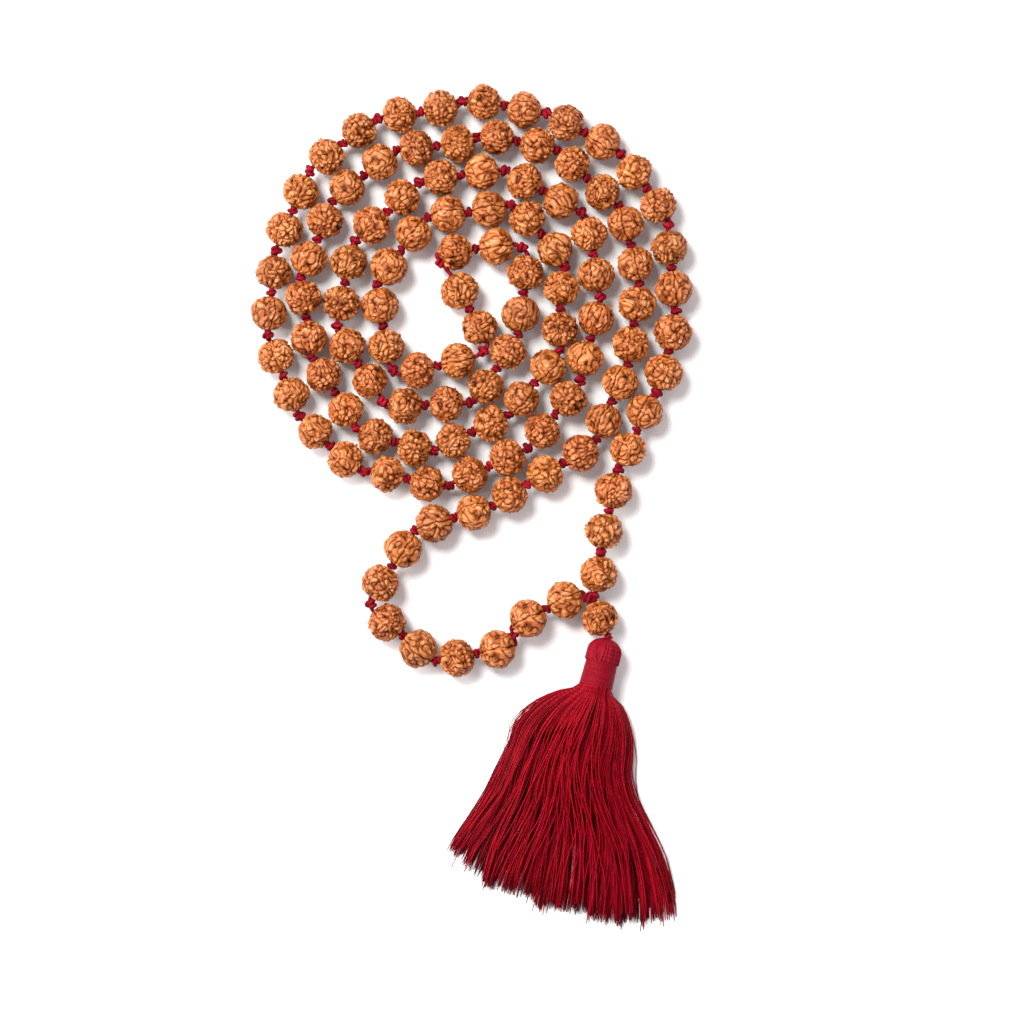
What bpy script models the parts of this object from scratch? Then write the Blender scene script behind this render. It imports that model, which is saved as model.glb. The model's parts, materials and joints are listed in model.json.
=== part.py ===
"""Mala prayer beads: 108 rudraksha seeds and a guru bead knotted on a crimson cord, with a cotton tassel.

The strand lies coiled on a flat surface at z = 0. X runs to the right and Y away from the tassel, and the
origin is the foot of the guru bead. The seeds are numbered 1 to 108 along the cord, from the guru bead out
along the right arm, round the coil and back along the left arm. Neighbouring seeds are modelled in groups,
mostly pairs: a group holds its seeds and the knots between them, on one straight bore. The knots between
groups belong to the cord.
"""

import math

import bmesh
import bpy
import numpy as np

MM = 0.001

# Seeds: a drilled rudraksha is a little shorter along its bore than across it.
SEED_COUNT = 108
SEED_RADIUS = 3.85 * MM
SEED_HALF_LENGTH = 3.5 * MM
SEED_SHOULDER = 3.0 * MM
SEED_SHOULDER_HALF = 2.5 * MM
SEED_WAIST_HALF = 0.95 * MM
BORE_RADIUS = 0.8 * MM
SEED_SIDES = 10
AXIS_HEIGHT = SEED_RADIUS * math.cos(math.pi / SEED_SIDES)

# Cord and knots.
CORD_RADIUS = 0.45 * MM
CORD_SIDES = 6
CORD_END_RADIUS = 0.36 * MM
STEM_RADIUS = 0.5 * MM
WIDEST_MITRE = 4 / 3
KNOT_RADIUS = 0.9 * MM
KNOT_HALF_LENGTH = 0.6 * MM
SLIM_KNOT_RADIUS = 0.7 * MM
MOUTH_CLEARANCE = 0.15 * MM
SHORT_LINK = 1.55 * MM
WIDE_LINK = 2.4 * MM
WIDE_LEAD_SHARE = 0.12
HANDLE_SHARE = 0.5
CORD_CLEARANCE = 0.1 * MM
GAP = 0.3 * MM

# Spacing of the seed centres along the cord, and of seeds that only lie side by side.
GROUP_PITCH = 8.7 * MM
SHORTEST_PITCH = 8.35 * MM
LONGEST_PITCH = 9.15 * MM
SIDE_SPACING = 2 * SEED_RADIUS + 0.25 * MM
HELD_ROUNDS = 300
FREE_ROUNDS = 400
SETTLE_STEP = 0.3
HOLD = 0.03

# How each arm lies, walked from the guru bead to the middle of the coil: where its first seed is, the way the
# cord leaves that seed, and then runs of (seeds, degrees turned at each seed), counter-clockwise positive.
RIGHT_START = (-0.2 * MM, 9.2 * MM)
RIGHT_HEADING = 83.5
RIGHT_PITCH = 8.95 * MM
RIGHT_BENDS = (
    (4, -6.0), (1, 18.0), (4, 10.5), (4, 15.0), (3, 4.5), (1, 29.0),
    (4, 11.0), (5, 13.0), (2, 22.5), (2, 9.0), (4, 15.0), (1, 4.5),
    (2, 28.0), (6, 17.0), (3, 23.5), (3, 30.5), (2, 13.0), (1, 50.5),
)
LEFT_START = (-7.5 * MM, 3.4 * MM)
LEFT_HEADING = -154.0
LEFT_PITCH = 8.5 * MM
LEFT_BENDS = (
    (1, 15.5), (3, -27.0), (2, -42.0), (2, -18.5), (3, 5.0), (2, 16.5),
    (3, 7.5), (5, 16.5), (3, 9.0), (2, 18.5), (6, 13.5), (2, 26.0),
    (6, 15.0), (2, 32.0), (5, 23.0), (1, 43.0), (3, 50.5), (1, -22.5),
)

# Groups of seeds: the first seed alone, then pairs, with one straight group of three on the left arm.
LONE_SEED = 1
TRIPLE_START = 96

# After this seed the cord bends back the other way, and crosses between two seeds that need room for it.
S_BEND_SEED = 106

# The tail is the free end that lifts off the surface: the guru bead, the tassel and the seeds up to these two.
TAIL_RIGHT_SEED = 3
TAIL_LEFT_SEED = 101

# Guru bead: its bore leans, so that the arms meet above it on the left and the tassel hangs from its right foot.
GURU_LEAN = 24.0
GURU_REACH = (9.35 * MM, 8.25 * MM)
FORK_DISTANCE = 4.3 * MM
FORK_KNOT_DISTANCE = 1.25 * MM
FORK_KNOT_RADIUS = 0.8 * MM
FORK_KNOT_HALF_LENGTH = 0.55 * MM
TASSEL_PIVOT_DISTANCE = 4.35 * MM
STEM_BALL_RADIUS = 0.6 * MM
STEM_BALL_HALF_FLAT = 0.18 * MM
STEM_BALL_FOOT_RADIUS = 0.3 * MM

# Tassel, measured down its own axis from the pivot under the guru bead.
TASSEL_LEAN = 14.0
TASSEL_SIDES = 12
HEAD_DIMPLE_DEPTH = 2.0 * MM
HEAD_RIM = (1.0 * MM, 1.2 * MM)
HEAD_SHOULDER = (1.6 * MM, 2.5 * MM)
HEAD_CROWN = (2.6 * MM, 3.5 * MM)
HEAD_WAIST = (3.9 * MM, 3.78 * MM)
HEAD_FOOT = (5.1 * MM, 3.4 * MM)
NECK_RADIUS = 2.7 * MM
BINDING_TOP = 5.4 * MM
BINDING_FOOT = 10.4 * MM
BINDING_RADIUS = 3.75 * MM
BINDING_EDGE = 0.35 * MM
SKIRT_PIVOT = 13.6 * MM
SKIRT_DOME_RADIUS = SKIRT_PIVOT - BINDING_FOOT - GAP

# The skirt's outline below its rounded top: (distance down the axis, left edge, right edge, thickness).
SKIRT_SECTIONS = (
    (15.2 * MM, -9.6 * MM, 8.2 * MM, 7.2 * MM),
    (18.0 * MM, -12.2 * MM, 10.2 * MM, 7.2 * MM),
    (22.0 * MM, -14.4 * MM, 11.5 * MM, 6.6 * MM),
    (27.0 * MM, -15.0 * MM, 12.0 * MM, 5.9 * MM),
    (32.0 * MM, -16.0 * MM, 14.6 * MM, 5.2 * MM),
    (37.0 * MM, -17.0 * MM, 18.9 * MM, 4.6 * MM),
    (42.0 * MM, -18.8 * MM, 23.2 * MM, 4.0 * MM),
    (49.5 * MM, -21.7 * MM, 27.4 * MM, 3.2 * MM),
    (54.5 * MM, -18.5 * MM, 25.0 * MM, 2.6 * MM),
    (57.6 * MM, -10.0 * MM, 17.5 * MM, 2.0 * MM),
)
SKIRT_NECK_HALF_WIDTH = 3.7 * MM
SKIRT_DOME_HALF_WIDTH = 7.4 * MM
SKIRT_DOME_SHARES = (0.985, 0.8, 0.45, 0.1)
# One section across the skirt: (share of the half width, share of the thickness), flat underneath.
SKIRT_ARCH = (
    (-0.72, 0.0), (-0.97, 0.22), (-0.93, 0.55), (-0.62, 0.9), (-0.2, 1.0),
    (0.2, 1.0), (0.62, 0.9), (0.93, 0.55), (0.97, 0.22), (0.72, 0.0),
)

SMOOTH_ANGLE = math.radians(35)
MERGE_DISTANCE = 0.001 * MM
EMPTY_SIZE = 3 * MM


def clear_scene():
    for thing in list(bpy.data.objects):
        bpy.data.objects.remove(thing, do_unlink=True)


def finish_material(name, colour, roughness):
    """A dielectric finish; colour is linear RGB."""
    finish = bpy.data.materials.new(name)
    finish.use_nodes = True
    shader = finish.node_tree.nodes["Principled BSDF"]
    shader.inputs["Base Color"].default_value = (*colour, 1.0)
    shader.inputs["Roughness"].default_value = roughness
    shader.inputs["Metallic"].default_value = 0.0
    finish.diffuse_color = (*colour, 1.0)
    return finish


def direction(degrees):
    return np.array([math.cos(math.radians(degrees)), math.sin(math.radians(degrees))])


def unit(vector):
    return vector / np.linalg.norm(vector)


def heading_of(vector):
    return math.atan2(vector[1], vector[0])


# ---------------------------------------------------------------- the strand's lay

def walk_arm(start, heading, pitch, bends):
    """Seed centres of one arm, stepping one pitch at a time and turning at each seed."""
    seeds = [np.array(start)]
    for seeds_in_run, turn in bends:
        for _ in range(seeds_in_run):
            seeds.append(seeds[-1] + pitch * direction(heading))
            heading += turn
    seeds.append(seeds[-1] + pitch * direction(heading))
    return seeds


def seed_groups():
    """(first, last) seed of each group."""
    pairs_before = [(seed, seed + 1) for seed in range(LONE_SEED + 1, TRIPLE_START, 2)]
    pairs_after = [(seed, seed + 1) for seed in range(TRIPLE_START + 3, SEED_COUNT, 2)]
    return [(LONE_SEED, LONE_SEED), *pairs_before, (TRIPLE_START, TRIPLE_START + 2), *pairs_after]


def spacing_limits(count):
    """The shortest and longest distance between any two of the guru bead (0) and the seeds (1 to 108)."""
    shortest = np.full((count, count), SIDE_SPACING)
    longest = np.full((count, count), np.inf)

    def limit(a, b, low, high):
        for i, j in ((a, b), (b, a)):
            shortest[i, j], longest[i, j] = low, high

    for seed in range(1, SEED_COUNT):
        limit(seed, seed + 1, SHORTEST_PITCH, LONGEST_PITCH)
    for first, last in seed_groups():
        for seed in range(first, last):
            limit(seed, seed + 1, GROUP_PITCH, GROUP_PITCH)
        if last - first > 1:
            limit(first, last, (last - first) * GROUP_PITCH, (last - first) * GROUP_PITCH)
    limit(S_BEND_SEED, S_BEND_SEED + 1, LONGEST_PITCH, LONGEST_PITCH)
    limit(0, 1, GURU_REACH[0], GURU_REACH[0])
    limit(0, SEED_COUNT, GURU_REACH[1], GURU_REACH[1])
    np.fill_diagonal(shortest, 0.0)
    return shortest, longest


def settle(seeds):
    """Eases the walked seeds to the cord's spacing, and apart where turns of the coil press together."""
    walked = np.vstack([np.zeros(2), *seeds])
    spots = walked.copy()
    shortest, longest = spacing_limits(len(spots))
    for turn in range(HELD_ROUNDS + FREE_ROUNDS):
        if turn < HELD_ROUNDS:
            spots += HOLD * (walked - spots)
        apart = spots[:, None] - spots[None]
        distance = np.linalg.norm(apart, axis=2)
        np.fill_diagonal(distance, 1.0)
        push = np.clip(shortest - distance, 0, None) - np.clip(distance - longest, 0, None)
        np.fill_diagonal(push, 0.0)
        spots += SETTLE_STEP * (push[:, :, None] * apart / distance[:, :, None]).sum(axis=1)
        spots[0] = 0.0
    return spots[1:]


def lay_strand():
    right = walk_arm(RIGHT_START, RIGHT_HEADING, RIGHT_PITCH, RIGHT_BENDS)
    left = walk_arm(LEFT_START, LEFT_HEADING, LEFT_PITCH, LEFT_BENDS)
    return settle(right + left[::-1])


# ---------------------------------------------------------------- solids

def revolved_mesh(name, outline, sides):
    """Turns an (along, radius) outline about local X, with a flat facing down; closed unless it ends on the axis."""
    shape = bmesh.new()
    half_turn = math.pi / sides
    points = [
        shape.verts.new((along, radius * math.sin(half_turn), -radius * math.cos(half_turn)))
        for along, radius in outline
    ]
    links = list(zip(points, points[1:]))
    if outline[0][1] > 0:
        links.append((points[-1], points[0]))
    edges = [shape.edges.new(link) for link in links]
    bmesh.ops.spin(shape, geom=points + edges, cent=(0, 0, 0), axis=(1, 0, 0), angle=2 * math.pi, steps=sides)
    bmesh.ops.remove_doubles(shape, verts=shape.verts, dist=MERGE_DISTANCE)
    bmesh.ops.recalc_face_normals(shape, faces=shape.faces)
    return finished_mesh(name, shape)


def lofted_mesh(name, rings):
    """Joins rings of points one after the other and caps both ends."""
    shape = bmesh.new()
    loops = [[shape.verts.new(point) for point in ring] for ring in rings]
    for loop, following in zip(loops, loops[1:]):
        for i in range(len(loop)):
            j = (i + 1) % len(loop)
            shape.faces.new((loop[i], loop[j], following[j], following[i]))
    shape.faces.new(loops[0])
    shape.faces.new(loops[-1])
    bmesh.ops.recalc_face_normals(shape, faces=shape.faces)
    return finished_mesh(name, shape)


def finished_mesh(name, shape):
    mesh = bpy.data.meshes.new(name)
    shape.to_mesh(mesh)
    shape.free()
    mesh.shade_smooth()
    mesh.set_sharp_from_angle(angle=SMOOTH_ANGLE)
    return mesh


def place(name, mesh, finish, location=(0, 0, 0), turn=0.0, parent=None):
    thing = bpy.data.objects.new(name, mesh)
    bpy.context.collection.objects.link(thing)
    if not mesh.materials:
        mesh.materials.append(finish)
    thing.location = location
    thing.rotation_euler.z = turn
    thing.parent = parent
    return thing


def axis_empty(name, location, turn, parent=None):
    """An empty that stands on a joint's axis, with local X down the piece that it carries."""
    empty = bpy.data.objects.new(name, None)
    bpy.context.collection.objects.link(empty)
    empty.location = location
    empty.rotation_euler.z = turn
    empty.empty_display_size = EMPTY_SIZE
    empty.parent = parent
    return empty


def seed_outline(centre, left_end, right_end):
    """A seed's outer outline along the bore, with the radius of what opens or joins at either end."""
    half = [
        (SEED_HALF_LENGTH, None),
        (SEED_SHOULDER_HALF, SEED_SHOULDER),
        (SEED_WAIST_HALF, SEED_RADIUS),
    ]
    left = [(centre - along, left_end if radius is None else radius) for along, radius in half]
    right = [(centre + along, right_end if radius is None else radius) for along, radius in half]
    return left + right[::-1]


def group_mesh(seeds):
    """A row of seeds on one bore along local X, joined by the knots between them."""
    outline = []
    for i in range(seeds):
        centre = (i - (seeds - 1) / 2) * GROUP_PITCH
        left_end = BORE_RADIUS if i == 0 else KNOT_RADIUS
        right_end = BORE_RADIUS if i == seeds - 1 else KNOT_RADIUS
        outline += seed_outline(centre, left_end, right_end)
    return revolved_mesh(f"seeds_{seeds}", outline, SEED_SIDES)


def cord_mesh(name, stations, origin):
    """A cord through (point, radius) stations, all at the bore's height, with its mesh placed from the origin."""
    rings = []
    for i, (point, radius) in enumerate(stations):
        before = stations[max(i - 1, 0)][0]
        after = stations[min(i + 1, len(stations) - 1)][0]
        arriving = unit(point - before) if i else unit(after - point)
        leaving = unit(after - point) if i < len(stations) - 1 else arriving
        along = unit(arriving + leaving)
        sideways = np.array([-along[1], along[0]])
        widening = min(1 / float(along @ arriving), WIDEST_MITRE)
        ring = []
        for k in range(CORD_SIDES):
            angle = 2 * math.pi * k / CORD_SIDES
            flat = point - origin[:2] + sideways * radius * widening * math.cos(angle)
            ring.append((flat[0], flat[1], AXIS_HEIGHT - origin[2] + radius * math.sin(angle)))
        rings.append(ring)
    return lofted_mesh(name, rings)


# ---------------------------------------------------------------- the cord's way through the seeds

class Strand:
    """The settled seeds in their groups, and where the bore of each group opens."""

    def __init__(self, guru_way):
        self.seeds = lay_strand()
        self.groups = seed_groups()
        self.fork = -FORK_DISTANCE * guru_way

    def ends(self, group):
        first, last = self.groups[group]
        return self.seeds[first - 1], self.seeds[last - 1]

    def middle(self, group):
        first, last = self.ends(group)
        return (first + last) / 2

    def along(self, group):
        """The way of the group's bore; a lone seed's bore runs from the fork towards the next seed."""
        first, last = self.ends(group)
        if self.groups[group][0] == self.groups[group][1]:
            return unit(self.seeds[LONE_SEED] - self.fork)
        return unit(last - first)

    def mouth(self, group, leaving):
        """Just outside the bore of a group, where the cord leaves it or enters it."""
        first, last = self.ends(group)
        reach = (SEED_HALF_LENGTH + MOUTH_CLEARANCE) * self.along(group)
        return last + reach if leaving else first - reach

    def cord_point(self, group, share):
        """A point on the cord between a group's bore and the next, which leaves both bores straight."""
        leaving, entering = self.mouth(group, True), self.mouth(group + 1, False)
        handle = HANDLE_SHARE * self.span(group)
        corners = (
            leaving, leaving + handle * self.along(group), entering - handle * self.along(group + 1), entering,
        )
        weights = [math.comb(3, k) * share**k * (1 - share) ** (3 - k) for k in range(4)]
        point = sum(weight * corner for weight, corner in zip(weights, corners))
        if 0 < share < 1 and self.span(group) > WIDE_LINK:
            for seed in (self.ends(group)[1], self.ends(group + 1)[0]):
                away = point - seed
                point = seed + unit(away) * max(np.linalg.norm(away), SEED_RADIUS + CORD_RADIUS + CORD_CLEARANCE)
        return point

    def knot(self, group):
        return self.cord_point(group, 0.5)

    def span(self, group):
        return np.linalg.norm(self.mouth(group + 1, False) - self.mouth(group, True))

    def link(self, group):
        """Cord stations from one group's bore over the knot to the next group's bore."""
        span = self.span(group)
        knot_share = KNOT_HALF_LENGTH / span
        if span < SHORT_LINK:
            shares = {0.0: CORD_RADIUS, 0.5: KNOT_RADIUS, 1.0: CORD_RADIUS}
        else:
            shares = {
                0.0: CORD_RADIUS, 0.5 - knot_share: CORD_RADIUS, 0.5: SLIM_KNOT_RADIUS,
                0.5 + knot_share: CORD_RADIUS, 1.0: CORD_RADIUS,
            }
        if span > WIDE_LINK:
            shares.update({WIDE_LEAD_SHARE: CORD_RADIUS, 1 - WIDE_LEAD_SHARE: CORD_RADIUS})
        return [(self.cord_point(group, share), shares[share]) for share in sorted(shares)]


def coil_stations(strand, first, last):
    """The cord of the coil, from the hinge knot before its first group to the one after its last group."""
    start, end = strand.knot(first - 1), strand.knot(last)
    start_way = unit(strand.mouth(first, False) - start)
    end_way = unit(end - strand.mouth(last, True))
    stations = [
        (start - KNOT_HALF_LENGTH * start_way, CORD_END_RADIUS),
        (start, SLIM_KNOT_RADIUS),
        (strand.mouth(first, False), CORD_RADIUS),
    ]
    for group in range(first, last):
        stations += strand.link(group)
    stations += [
        (strand.mouth(last, True), CORD_RADIUS),
        (end, SLIM_KNOT_RADIUS),
        (end + KNOT_HALF_LENGTH * end_way, CORD_END_RADIUS),
    ]
    return stations


def fork_stations(fork, mouth):
    """From a bore's mouth over one of the two knots above the guru bead, stopping short of the fork."""
    way = unit(mouth - fork)
    knot = fork + FORK_KNOT_DISTANCE * way
    return [
        (mouth, CORD_RADIUS),
        (knot + FORK_KNOT_HALF_LENGTH * way, CORD_RADIUS),
        (knot, FORK_KNOT_RADIUS),
        (knot - FORK_KNOT_HALF_LENGTH * way, CORD_RADIUS),
    ]


def tail_stations(strand, right_group, left_group):
    """The tail's cord: in from the right hinge knot, over the fork above the guru bead, out to the left one."""
    last_group = len(strand.groups) - 1
    inside = (MOUTH_CLEARANCE + 2 * GAP) * strand.along(right_group)
    stations = [(strand.mouth(right_group, True) - inside, CORD_RADIUS)]
    for group in range(right_group - 1, -1, -1):
        stations += strand.link(group)[::-1]
    stations += fork_stations(strand.fork, strand.mouth(0, False))
    stations.append((strand.fork, CORD_RADIUS))
    stations += fork_stations(strand.fork, strand.mouth(last_group, True))[::-1]
    for group in range(last_group - 1, left_group - 1, -1):
        stations += strand.link(group)[::-1]
    inside = (MOUTH_CLEARANCE + 2 * GAP) * strand.along(left_group)
    stations.append((strand.mouth(left_group, False) + inside, CORD_RADIUS))
    return stations


def stem_stations(guru_way, fork):
    """The doubled cord from the fork through the guru bead to the ball that carries the tassel."""
    ball = TASSEL_PIVOT_DISTANCE * guru_way
    return [
        (fork, STEM_RADIUS),
        (ball - STEM_BALL_RADIUS * guru_way, STEM_RADIUS),
        (ball - STEM_BALL_HALF_FLAT * guru_way, STEM_BALL_RADIUS),
        (ball + STEM_BALL_HALF_FLAT * guru_way, STEM_BALL_RADIUS),
        (ball + STEM_BALL_RADIUS * guru_way, STEM_BALL_FOOT_RADIUS),
    ]


# ---------------------------------------------------------------- sub-parts

def group_name(first, last):
    return f"bead_{first:03d}" if first == last else f"beads_{first:03d}_{last:03d}"


def build_seeds(strand, finish):
    meshes = {seeds: group_mesh(seeds) for seeds in (1, 2, 3)}
    for group, (first, last) in enumerate(strand.groups):
        middle = strand.middle(group)
        place(
            group_name(first, last), meshes[last - first + 1], finish,
            (middle[0], middle[1], AXIS_HEIGHT), heading_of(strand.along(group)),
        )


def build_guru(finish, guru_way):
    mesh = revolved_mesh("guru_bead", seed_outline(0.0, BORE_RADIUS, BORE_RADIUS), SEED_SIDES)
    place("guru_bead", mesh, finish, (0, 0, AXIS_HEIGHT), heading_of(guru_way))


def build_cords(strand, finish, guru_way):
    right_group = next(g for g, (_, last) in enumerate(strand.groups) if last == TAIL_RIGHT_SEED)
    left_group = next(g for g, (first, _) in enumerate(strand.groups) if first == TAIL_LEFT_SEED)
    home = np.zeros(3)
    coil = coil_stations(strand, right_group + 1, left_group - 1)
    place("cord_coil", cord_mesh("cord_coil", coil, home), finish)

    hinge = np.append(strand.knot(right_group), AXIS_HEIGHT)
    arms = cord_mesh("cord_tail", tail_stations(strand, right_group, left_group), hinge)
    tail = place("cord_tail", arms, finish, hinge)
    stem_mesh = cord_mesh("cord_stem", stem_stations(guru_way, strand.fork), hinge)
    stem = place("cord_stem", stem_mesh, finish, hinge)
    stem.hide_render = True
    stem.display_type = "WIRE"
    union = tail.modifiers.new("stem", "BOOLEAN")
    union.operation = "UNION"
    union.solver = "EXACT"
    union.object = stem


def build_tassel_neck(finish, binding_finish, swing_axis):
    """The folded bundle of threads with its neck, and the thread wrapped round that neck."""
    head = [
        (HEAD_DIMPLE_DEPTH, 0.0), HEAD_RIM, HEAD_SHOULDER, HEAD_CROWN, HEAD_WAIST, HEAD_FOOT,
        (HEAD_FOOT[0], NECK_RADIUS), (BINDING_FOOT, NECK_RADIUS), (BINDING_FOOT, 0.0),
    ]
    place("tassel_head", revolved_mesh("tassel_head", head, TASSEL_SIDES), finish, parent=swing_axis)
    binding = [
        (BINDING_TOP, NECK_RADIUS + GAP), (BINDING_TOP, BINDING_RADIUS - BINDING_EDGE),
        (BINDING_TOP + BINDING_EDGE, BINDING_RADIUS), (BINDING_FOOT - BINDING_EDGE, BINDING_RADIUS),
        (BINDING_FOOT, BINDING_RADIUS - BINDING_EDGE), (BINDING_FOOT, NECK_RADIUS + GAP),
    ]
    place(
        "tassel_binding", revolved_mesh("tassel_binding", binding, TASSEL_SIDES), binding_finish,
        parent=swing_axis,
    )


def skirt_ring(distance, left, right, low, high):
    """One section of the skirt, in the frame of its lift axis."""
    middle, half = (left + right) / 2, (right - left) / 2
    return [
        (distance - SKIRT_PIVOT, middle + half * across, low + (high - low) * up - AXIS_HEIGHT)
        for across, up in SKIRT_ARCH
    ]


def build_skirt(finish, lift_axis):
    """The fan of threads: a top rounded about the lift axis, then a flat-bottomed bell."""
    rings = []
    for share in SKIRT_DOME_SHARES:
        back = SKIRT_DOME_RADIUS * share
        half_height = math.sqrt(SKIRT_DOME_RADIUS**2 - back**2)
        spread = 1 - share
        half_width = SKIRT_NECK_HALF_WIDTH + (SKIRT_DOME_HALF_WIDTH - SKIRT_NECK_HALF_WIDTH) * spread
        rings.append(skirt_ring(
            SKIRT_PIVOT - back, -half_width, half_width, AXIS_HEIGHT - half_height, AXIS_HEIGHT + half_height,
        ))
    rings += [skirt_ring(down, left, right, 0.0, thick) for down, left, right, thick in SKIRT_SECTIONS]
    place("tassel_skirt", lofted_mesh("tassel_skirt", rings), finish, parent=lift_axis)


def build():
    clear_scene()
    seed_finish = finish_material("rudraksha_seed", (0.42, 0.17, 0.055), 0.55)
    cord_finish = finish_material("crimson_cord", (0.25, 0.008, 0.03), 0.75)
    thread_finish = finish_material("tassel_cotton", (0.27, 0.0, 0.015), 0.8)
    binding_finish = finish_material("binding_thread", (0.52, 0.02, 0.05), 0.65)

    guru_way = direction(GURU_LEAN - 90)
    strand = Strand(guru_way)
    build_seeds(strand, seed_finish)
    build_guru(seed_finish, guru_way)
    build_cords(strand, cord_finish, guru_way)

    pivot = TASSEL_PIVOT_DISTANCE * guru_way
    tassel_turn = math.radians(-90 - TASSEL_LEAN)
    swing_axis = axis_empty("tassel_swing_axis", (pivot[0], pivot[1], AXIS_HEIGHT), tassel_turn)
    lift_axis = axis_empty("skirt_lift_axis", (SKIRT_PIVOT, 0, 0), 0.0, parent=swing_axis)
    build_tassel_neck(thread_finish, binding_finish, swing_axis)
    build_skirt(thread_finish, lift_axis)


build()
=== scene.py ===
"""Looks of the mala prayer beads: rudraksha seeds, a knotted crimson cord and a cotton tassel.

Every seed is its own piece on the body of its group. The cord, with all its knots, is one strand on each of
the two cord bodies. The tassel is made of threads: folded over its head, wound round its neck, and fanned out
below. Lengths are in metres. A seed's own X axis is its bore.
"""

import json
import math
from typing import NamedTuple

import bpy
import numpy as np
from mathutils import Matrix, Vector

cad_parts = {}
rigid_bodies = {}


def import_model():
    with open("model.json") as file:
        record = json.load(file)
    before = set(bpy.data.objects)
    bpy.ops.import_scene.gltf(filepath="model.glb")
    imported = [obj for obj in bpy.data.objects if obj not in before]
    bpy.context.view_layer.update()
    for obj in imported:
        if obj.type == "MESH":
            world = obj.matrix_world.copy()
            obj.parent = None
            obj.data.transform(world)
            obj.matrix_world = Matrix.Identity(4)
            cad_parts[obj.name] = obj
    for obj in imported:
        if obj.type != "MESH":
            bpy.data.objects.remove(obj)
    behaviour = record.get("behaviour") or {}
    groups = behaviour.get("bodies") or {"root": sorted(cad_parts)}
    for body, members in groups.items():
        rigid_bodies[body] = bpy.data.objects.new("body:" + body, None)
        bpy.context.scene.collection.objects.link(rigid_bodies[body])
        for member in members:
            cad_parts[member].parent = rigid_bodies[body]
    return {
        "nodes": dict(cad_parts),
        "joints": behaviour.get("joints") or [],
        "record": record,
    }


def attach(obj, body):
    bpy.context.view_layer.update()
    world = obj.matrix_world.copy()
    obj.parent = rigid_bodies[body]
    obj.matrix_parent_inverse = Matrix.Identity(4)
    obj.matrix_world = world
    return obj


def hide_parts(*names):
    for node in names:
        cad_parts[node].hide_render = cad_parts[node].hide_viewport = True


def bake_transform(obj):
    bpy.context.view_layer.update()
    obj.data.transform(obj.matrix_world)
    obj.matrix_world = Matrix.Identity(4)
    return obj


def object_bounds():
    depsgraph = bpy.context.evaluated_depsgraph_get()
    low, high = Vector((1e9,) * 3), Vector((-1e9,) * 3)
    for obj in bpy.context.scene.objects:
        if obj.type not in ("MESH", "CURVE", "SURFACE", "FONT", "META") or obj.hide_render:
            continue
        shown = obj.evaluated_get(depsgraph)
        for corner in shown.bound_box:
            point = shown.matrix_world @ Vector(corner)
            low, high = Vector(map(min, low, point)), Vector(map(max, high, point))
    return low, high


MM = 0.001

# Seeds. The crests stand on an ellipsoid a little shorter along the bore than across it.
CREST_RADIUS = 4.34 * MM
CREST_HALF_LENGTH = 4.15 * MM
HOLE_RADIUS = 0.62 * MM
SEED_ROWS = 64
SEED_COLUMNS = 122
BORE_ROWS = 4
RIDGE_DRIFT = 0.32 * MM
WRINKLE_LENGTH = 0.8 * MM
WRINKLE_DEPTH = 0.05 * MM
RIM_SINK = 0.42 * MM
RIM_REACH = 0.16

# Lines from pole to pole of a seed, with a lip on each side. The numbered seeds show one of theirs on top.
FACES_OF_SEED = 5
LINE_WIDTH = 0.13 * MM
LINE_DEPTH = 0.1 * MM
LIP_OFFSET = 0.5 * MM
LIP_WIDTH = 0.3 * MM
SHOWN_LINES = (101, 104, 106, 107, 108)
SHOWN_TURN = 0.25

# How the seeds are mixed and sized.
KNOBBLY_MESHES = 8
LINED_MESHES = 5
LINED_SHARE = 0.38
SIZE_SPREAD = 0.03
SMALLEST_SIZE = 0.9
GURU_SIZE = 0.965
TOUCH = 0.2 * MM

# Cord.
CORD_RADIUS = 0.46 * MM
CORD_SIDES = 10
PLY_PITCH = 1.7 * MM
PLY_DEPTH = 0.24
MOUTH_CLEARANCE = 0.15 * MM
POINTS_IN_SEED = 12
HANDLE_SHARE = 0.22
GAP_MIDDLE = 6
USUAL_GAP = 1.5 * MM

# Knots, the fork above the guru bead, and the doubled cord through it.
KNOT_POINTS = 36
KNOT_TURNS = 1.35
KNOT_RISE = 0.55 * MM
KNOT_SLANT = 0.16 * MM
KNOT_TUCK = 0.16
KNOT_WRAP_RADIUS = 0.66 * MM
KNOT_STRAND_RADIUS = 0.45 * MM
LARGE_KNOT = 1.15
TIE_KNOT = 0.85
FORK_REACH = 0.8 * MM
FORK_KNOT_REACH = 1.0 * MM
FORK_POINTS = 13
STEM_RADIUS = 0.5 * MM
STEM_FOOT = 0.6 * MM
STEM_POINTS = 24

# Tassel head and binding.
HEAD_THREADS = 160
HEAD_THREAD_RADIUS = 0.15 * MM
HEAD_TOP = 0.3 * MM
HEAD_TUCK = 0.55 * MM
HEAD_CORE_GAP = 0.05 * MM
RIM_LIFT = 0.5 * MM
WRAP_PITCH = 0.22 * MM
WRAP_THREAD_RADIUS = 0.13 * MM
WRAP_STEPS = 44
WRAP_INSET = 0.2 * MM
WRAP_CORE_INSET = 0.28 * MM
WRAP_CORE_END = 0.6 * MM
WRAP_TAPER = 0.22 * MM

# Tassel skirt.
SKIRT_THREADS = 1060
SKIRT_THREAD_RADIUS = 0.135 * MM
SKIRT_LOCKS = (15, 19, 17)
CROSSING_THREADS = 70
CROSSING_RADIUS = 0.11 * MM
STRAY_THREADS = 12
STRAY_RADIUS = 0.1 * MM
THREAD_POINTS = 22
NECK_RADIUS = 3.35 * MM
OPENING = 3.6 * MM
BLEND_LENGTH = 7 * MM
LEVEL = 0.05 * MM
GOLDEN = 0.6180339887

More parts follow.
